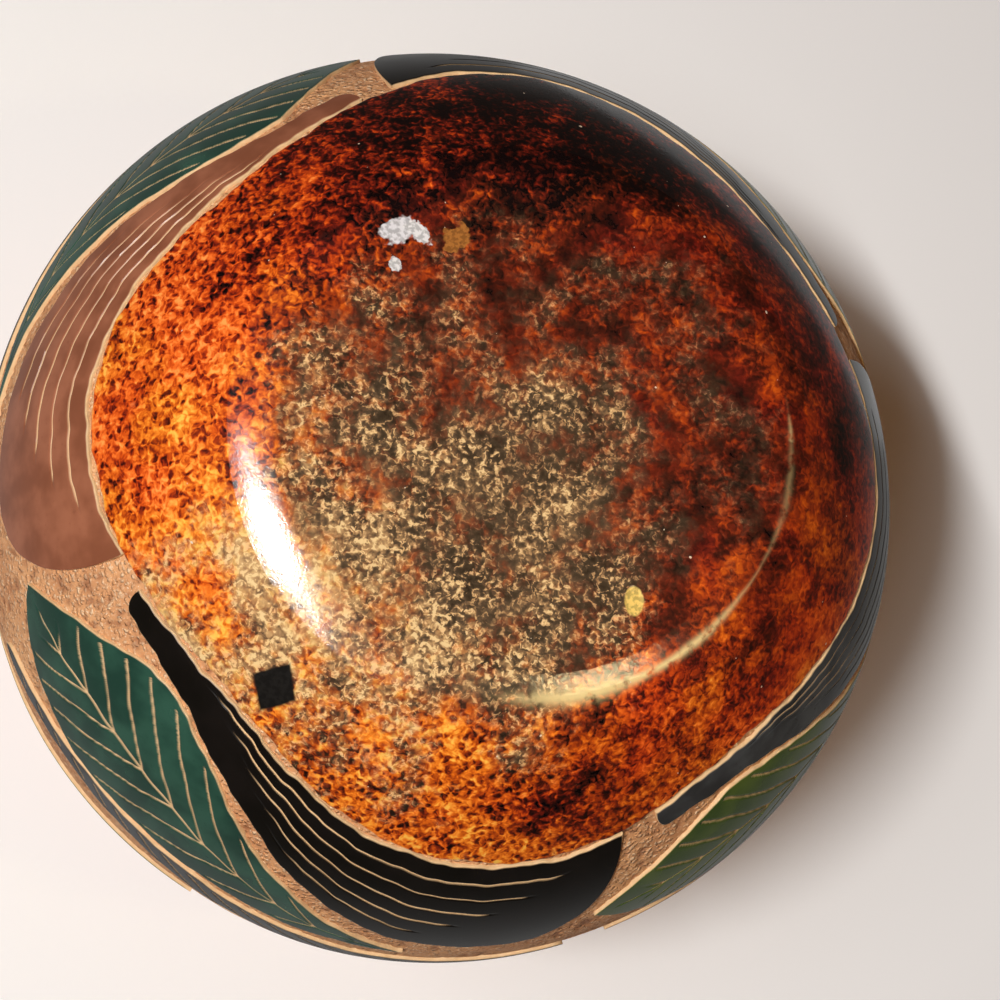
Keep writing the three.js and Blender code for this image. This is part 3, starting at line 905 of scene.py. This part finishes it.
def lower_coat():
    """Mottled slip from the foot's joint up to the frieze."""
    azimuth, high = border_line(lower_border, LOWER_SEED)
    low = np.full(SLIP_COLUMNS, height_at(FOOT_POLAR))
    points, bare = slip_shell(azimuth, low, high, COAT_ROWS, cut_low=False, cut_high=True)
    radius = np.hypot(points[..., 0], points[..., 1])
    polar = np.degrees(np.arcsin(np.clip(radius / WAIST_RADIUS, 0, 1)))
    arc = BASE_RADIUS + np.radians(polar - BASE_POLAR) * WAIST_RADIUS
    rim = 1 - smoothstep(high[:, None] - height_at(polar), *RIM_FADE)
    values = {**mottling_with_sheen(azimuth[:, None], arc), "bare": bare}
    values["tone"] += RIM_TONE * rim
    values["tan"] += RIM_TAN * rim
    return make_piece("lower_coat", points, ring_faces(points), "lower_slip_coat", values)


def shoulder_coat():
    """Mottled slip from the frieze up to the collar."""
    azimuth, low = border_line(upper_border, UPPER_SEED)
    high = np.full(SLIP_COLUMNS, height_at(NECK_POLAR))
    points, bare = slip_shell(azimuth, low, high, COAT_ROWS, cut_low=True, cut_high=False)
    values = {**upper_mottling(azimuth[:, None], np.zeros(bare.shape)), "bare": bare}
    make_piece("shoulder_coat", points, ring_faces(points), "shoulder_slip_coat", values)


# Islands of the frieze: p counts repeats of the pattern, s runs from 0 to 1 along one island.


def round_ends(s, first, last):
    share = np.clip(np.minimum(s / first, (1 - s) / last), 0, 1)
    return np.sqrt(1 - (1 - share) ** 2)


def leaf_width(s, widest):
    share = np.clip(np.minimum(s / widest, (1 - s) / (1 - widest)), 0, 1)
    return np.sin(np.pi / 2 * share) ** LEAF_FULLNESS


def share_along(p, begin, end):
    return np.clip((p - begin) / (end - begin), 0, 1)


def banded(middle, width):
    half = np.maximum(width, TIP) / 2
    return middle - half, middle + half


def wave_height(s):
    return lerp(WAVE_CREST, WAVE_TAIL, smoothstep(s, *WAVE_FALL))


def ribbon_middle(p):
    return RIBBON_HEIGHT + RIBBON_SWELL * ripple(p, LOWER_PHASE)


def ribbon_width(s):
    return lerp(RIBBON_TIP, RIBBON_WIDTH, leaf_width(s, RIBBON_WIDEST))


def wave_edges(p, s):
    low = lower_border(p) + GROUND_WIDTH
    return low, low + np.maximum(wave_height(s) * round_ends(s, *WAVE_ENDS), TIP)


def ribbon_edges(p, s):
    return banded(ribbon_middle(p), ribbon_width(s) * round_ends(s, *RIBBON_ENDS))


def trough_leaf_edges(p, s):
    wave_top = lower_border(p) + GROUND_WIDTH + wave_height(share_along(p, *WAVE_SPAN))
    ribbon_foot = ribbon_middle(p) - ribbon_width(share_along(p, *RIBBON_SPAN)) / 2
    low, high = wave_top + GROUND_WIDTH, ribbon_foot - GROUND_WIDTH
    return banded((low + high) / 2, (high - low) * leaf_width(s, TROUGH_WIDEST))


def slanting_leaf_edges(p, s):
    climb = lerp(smoothstep(s, 0, 1), s, LEAF_STRAIGHT)
    return banded(lerp(LEAF_FOOT, LEAF_HEAD, climb), LEAF_WIDTH * leaf_width(s, LEAF_WIDEST))


# Carving: each takes s along the island, its length, the distance across it and its width there, and gives
# how deep the tool went, from 0 to 1. Margins are kept clear along an island's edges.
MARGIN_FADE = 0.5
FLOW_LINES = (0.16, 0.32, 0.48, 0.64, 0.80)  # shares of a wave's width
FLOW_START = (0.08, 0.12)  # shares of its length between which the first line comes in
FLOW_START_STEP = 0.05  # how much later each next line does
FLOW_END = (0.70, 0.84)
FLOW_END_STEP = 0.06  # how much earlier each next line ends
FLOW_MARGIN = 0.8
RIB_START = (0.02, 0.06)
RIB_END = (0.92, 0.97)
VEIN_START = (0.08, 0.12)
VEIN_END = (0.86, 0.92)
VEIN_MARGIN = 1.2
HATCH_SPACING = 3.4
HATCH_LEAN = 0.7
HATCH_MARGIN = 1.3
DOT_SPACING = 1.9
DOT_CLEARANCE = 0.8  # of the midrib
STROKE_SPACING = 6.0
STROKE_LEAN = -1.2
STROKE_MARGIN = 1.1


def groove(distance):
    return np.clip(1 - (distance / TOOL_REACH) ** 2, 0, 1)


def every(position, spacing):
    """Distance to the nearest of evenly spaced lines."""
    return np.abs((position + spacing / 2) % spacing - spacing / 2)


def leaning_lines(along, across, spacing, lean):
    """Even lines that move along by their lean for each step across."""
    return groove(every(along - lean * across, spacing) / math.hypot(1, lean))


def shown_between(s, start, end):
    return smoothstep(s, *start) * (1 - smoothstep(s, *end))


def inside_edges(across, width, margin):
    return smoothstep(np.minimum(across, width - across), margin, margin + MARGIN_FADE)


def midrib(s, middle):
    return groove(np.abs(middle)) * shown_between(s, RIB_START, RIB_END)


def flowing_lines(s, length, across, width):
    """Lines that follow a wave's back and run together at its tail."""
    cut = 0.0
    for k, share in enumerate(FLOW_LINES):
        start = np.add(FLOW_START, FLOW_START_STEP * k)
        end = np.subtract(FLOW_END, FLOW_END_STEP * k)
        cut = np.maximum(cut, groove(np.abs(across - share * width)) * shown_between(s, start, end))
    return cut * inside_edges(across, width, FLOW_MARGIN)


def veins(spacing, lean):
    def carve(s, length, across, width):
        """A midrib with side veins."""
        middle = across - width / 2
        side = leaning_lines(s * length, np.abs(middle), spacing, lean)
        side = side * shown_between(s, VEIN_START, VEIN_END)
        return np.maximum(midrib(s, middle), side) * inside_edges(across, width, VEIN_MARGIN)

    return carve


def half_hatched(s, length, across, width):
    """A midrib, close strokes on its upper side and stipple on its lower side."""
    along, middle = s * length, across - width / 2
    strokes = leaning_lines(along, middle, HATCH_SPACING, HATCH_LEAN) * (middle > 0)
    row = np.floor(middle / DOT_SPACING)
    from_dot = np.hypot(
        every(along + row * DOT_SPACING / 2, DOT_SPACING),
        every(middle - DOT_SPACING / 2, DOT_SPACING),
    )
    dots = groove(from_dot) * (middle < -DOT_CLEARANCE)
    marks = np.maximum(strokes, dots) * inside_edges(across, width, HATCH_MARGIN)
    return np.maximum(midrib(s, middle), marks)


def slanting_strokes(s, length, across, width):
    strokes = leaning_lines(s * length, across, STROKE_SPACING, STROKE_LEAN)
    return strokes * inside_edges(across, width, STROKE_MARGIN)


# Name, edges, span, rows of the mesh and carving of each island
ISLANDS = (
    ("wave", wave_edges, WAVE_SPAN, 150, flowing_lines),
    ("trough_leaf", trough_leaf_edges, TROUGH_SPAN, 110, veins(spacing=9.0, lean=1.3)),
    ("ribbon", ribbon_edges, RIBBON_SPAN, 36, slanting_strokes),
    ("low_leaf", slanting_leaf_edges, LOW_LEAF_SPAN, 76, veins(spacing=7.0, lean=1.6)),
    ("high_leaf", slanting_leaf_edges, HIGH_LEAF_SPAN, 76, half_hatched),
)
ISLAND_SEED = 3
KIND_SEED_STEP = 2
REPEAT_SEED_STEP = 11


def island(node, repeat, seed, edges, span, rows, carve):
    """One island of slip, cut free all around and carved."""
    begin, end = span
    length = (end - begin) / REPEATS * 2 * math.pi * WAIST_RADIUS
    even = np.linspace(0, 1, int(length / ISLAND_STEP))
    s = even - END_CROWDING * np.sin(2 * np.pi * even)
    p = lerp(begin, end, s)
    azimuth = FIRST_REPEAT + (repeat + p) / REPEATS * 360
    low, high = edges(p, s)
    loose = np.minimum(1, (high - low) / LOOSE_WIDTH)
    low, high = low + loose * wander(azimuth, seed), high + loose * wander(azimuth, seed + 1)

    def carving(across, width):
        return carve(s[:, None], length, across, width)

    points, bare = slip_shell(azimuth, low, high, rows, True, True, carving)
    columns, loop = points.shape[:2]
    first = np.arange(loop)[None, :]
    last = (columns * loop - 1 - np.arange(loop))[None, :]
    polygons = [grid_faces(columns, loop, False, True), first, last]
    make_piece(f"{node}_slip", points, polygons, node, {"bare": bare})


def islands():
    for kind, (name, *form) in enumerate(ISLANDS):
        for repeat in range(REPEATS):
            seed = ISLAND_SEED + KIND_SEED_STEP * kind + REPEAT_SEED_STEP * repeat
            island(f"{name}_{repeat + 1}", repeat, seed, *form)


base = foot()
collar()
bowls()
coat = lower_coat()
shoulder_coat()
islands()
for underside in (base, coat):
    underside.visible_diffuse = False  # the lit underside doesn't tint the floor

# Camera: under the pot, a little to one side of its axis
CAMERA_DISTANCE = 400.0
CAMERA_TILT = 15.8
CAMERA_AZIMUTH = 139.7
CLIP_START = 10.0
LENS = 71.9
SENSOR = 36.0
BODY_AT = (-0.062, -0.007)  # the body's centre from the picture's, as shares of its width

tilt = math.radians(CAMERA_TILT)
to_camera = Vector(around(CAMERA_AZIMUTH, math.sin(tilt), -math.cos(tilt)))
body_centre = Vector((0, 0, WAIST_HEIGHT * MM))
right = Vector((0, -1, 0)).cross(to_camera).normalized()
up = to_camera.cross(right)
facing = Matrix((right, up, to_camera)).transposed()
pan, pitch = (math.atan(share * SENSOR / LENS) for share in BODY_AT)
turned = facing @ Matrix.Rotation(pan, 3, "Y") @ Matrix.Rotation(-pitch, 3, "X")
camera_place = body_centre + to_camera * CAMERA_DISTANCE * MM
camera = bpy.data.objects.new("camera", bpy.data.cameras.new("camera"))
camera.data.lens = LENS
camera.data.sensor_width = SENSOR
camera.data.clip_start = CLIP_START * MM
camera.matrix_world = Matrix.LocRotScale(camera_place, turned.to_quaternion(), None)
bpy.context.scene.collection.objects.link(camera)
bpy.context.scene.camera = camera

# Stage: the floor is under the pot as it stands, and the table is under its lip when it is turned over.
PAPER = (0.98, 0.98, 0.98)
GLOW = (0.92, 0.92, 0.92)
FLOOR_SIZE = 40.0
FLOOR_GLOW = 0.3
TABLE_SIZE = 0.30
TABLE_PLACE = (0.047, -0.033, 0.173)


def stage_plane(name, place, facing_up, size, glow):
    """A pale square that shows only from its front, and neither shades the pot nor mirrors in it."""
    half = size / 2
    corners = [(-half, -half, 0), (half, -half, 0), (half, half, 0), (-half, half, 0)]
    mesh = bpy.data.meshes.new(name)
    mesh.from_pydata(corners, [], [(0, 1, 2, 3)])
    plane = bpy.data.objects.new(name, mesh)
    plane.matrix_world = Matrix.Translation(place) @ Matrix.Rotation(0 if facing_up else math.pi, 4, "X")
    plane.visible_shadow = plane.visible_diffuse = plane.visible_glossy = plane.visible_transmission = False
    n = Nodes(bpy.data.materials.new(name))
    n.tree.nodes.remove(n.tree.nodes["Principled BSDF"])
    paper = n.add("BsdfDiffuse", {"Color": PAPER}).outputs["BSDF"]
    lit = n.add("Emission", {"Color": GLOW}).outputs["Emission"]
    clear = n.add("BsdfTransparent").outputs["BSDF"]
    back = n.add("NewGeometry").outputs["Backfacing"]
    shown = n.mix_shaders(back, n.mix_shaders(glow, paper, lit), clear)
    n.set(n.tree.nodes["Material Output"].inputs["Surface"], shown)
    mesh.materials.append(n.owner)
    bpy.context.scene.collection.objects.link(plane)


stage_plane("floor", (0, 0, 0), True, FLOOR_SIZE, FLOOR_GLOW)
stage_plane("table", TABLE_PLACE, False, TABLE_SIZE, 0.0)

# Lamps
WHITE = (1.0, 1.0, 1.0)
DAYLIGHT = (1.0, 0.985, 0.965)
WARM = (1.0, 0.86, 0.48)
WINDOW_ROLL = 24.0


def from_camera(across, upwards, distance):
    """A place seen from the body's centre at angles to the camera's right and up."""
    aim = to_camera + right * math.tan(math.radians(across)) + up * math.tan(math.radians(upwards))
    return body_centre + aim.normalized() * distance


def add_lamp(name, place, size, watts, colour, roll=0.0, spread=180.0):
    """A softbox aimed at the body, its width level in the picture or rolled by an angle.

    A small spread is a grid, which keeps its light off what is beside the pot.
    """
    lamp = bpy.data.lights.new(name, "AREA")
    lamp.shape = "ELLIPSE"
    lamp.size, lamp.size_y = size
    lamp.energy = watts
    lamp.color = colour
    lamp.spread = math.radians(spread)
    holder = bpy.data.objects.new(name, lamp)
    out = (place - body_centre).normalized()
    level = up.cross(out).normalized()
    turn = Matrix((level, out.cross(level), out)).transposed() @ Matrix.Rotation(math.radians(roll), 3, "Z")
    holder.matrix_world = Matrix.LocRotScale(place, turn.to_quaternion(), None)
    bpy.context.scene.collection.objects.link(holder)
    return holder


add_lamp("key", from_camera(-16.2, 3.0, 1.2), (0.065, 0.27), 10.2, DAYLIGHT, roll=WINDOW_ROLL)
add_lamp("window", from_camera(-16.0, 3.4, 1.22), (0.035, 0.76), 4.4, DAYLIGHT, roll=WINDOW_ROLL)
add_lamp("warm_fill", from_camera(31.8, -2.2, 0.91), (0.155, 0.090), 0.0097, WARM, spread=20.0)
add_lamp("side", Vector((0.75, -0.72, 0.85)), (1.0, 1.0), 0.6, WHITE)
top = add_lamp("top", Vector((0.0, 0.0, 1.3)), (1.0, 1.0), 7.5, WHITE)
top.visible_glossy = False  # it doesn't mirror in the gloss

# World: what mirrors in the gloss, what lights the shade, and what shows behind the pot
GLOSS_BELOW = (0.036, 0.028, 0.022)
GLOSS_ABOVE = (0.260, 0.255, 0.250)
FILL_BELOW = (0.086, 0.045, 0.022)
FILL_ABOVE = (0.850, 0.840, 0.820)
BACKGROUND = (0.800, 0.800, 0.800)
WORLD_RISE = (0.3, 0.9)  # heights on a unit sphere between which below becomes above

world = bpy.data.worlds.new("studio")
bpy.context.scene.world = world
n = Nodes(world)
direction = n.add("TexCoord").outputs["Generated"]
rise = n.steps(n.add("SeparateXYZ", {"Vector": direction}).outputs["Z"], *WORLD_RISE)
ray = n.add("LightPath").outputs
gloss = n.mix(rise, GLOSS_BELOW, GLOSS_ABOVE)
fill = n.mix(rise, FILL_BELOW, FILL_ABOVE)
light = n.mix(ray["Is Diffuse Ray"], gloss, fill)
n.set(n.tree.nodes["Background"].inputs["Color"], n.mix(ray["Is Camera Ray"], light, BACKGROUND))

bpy.context.scene.view_settings.view_transform = "Standard"
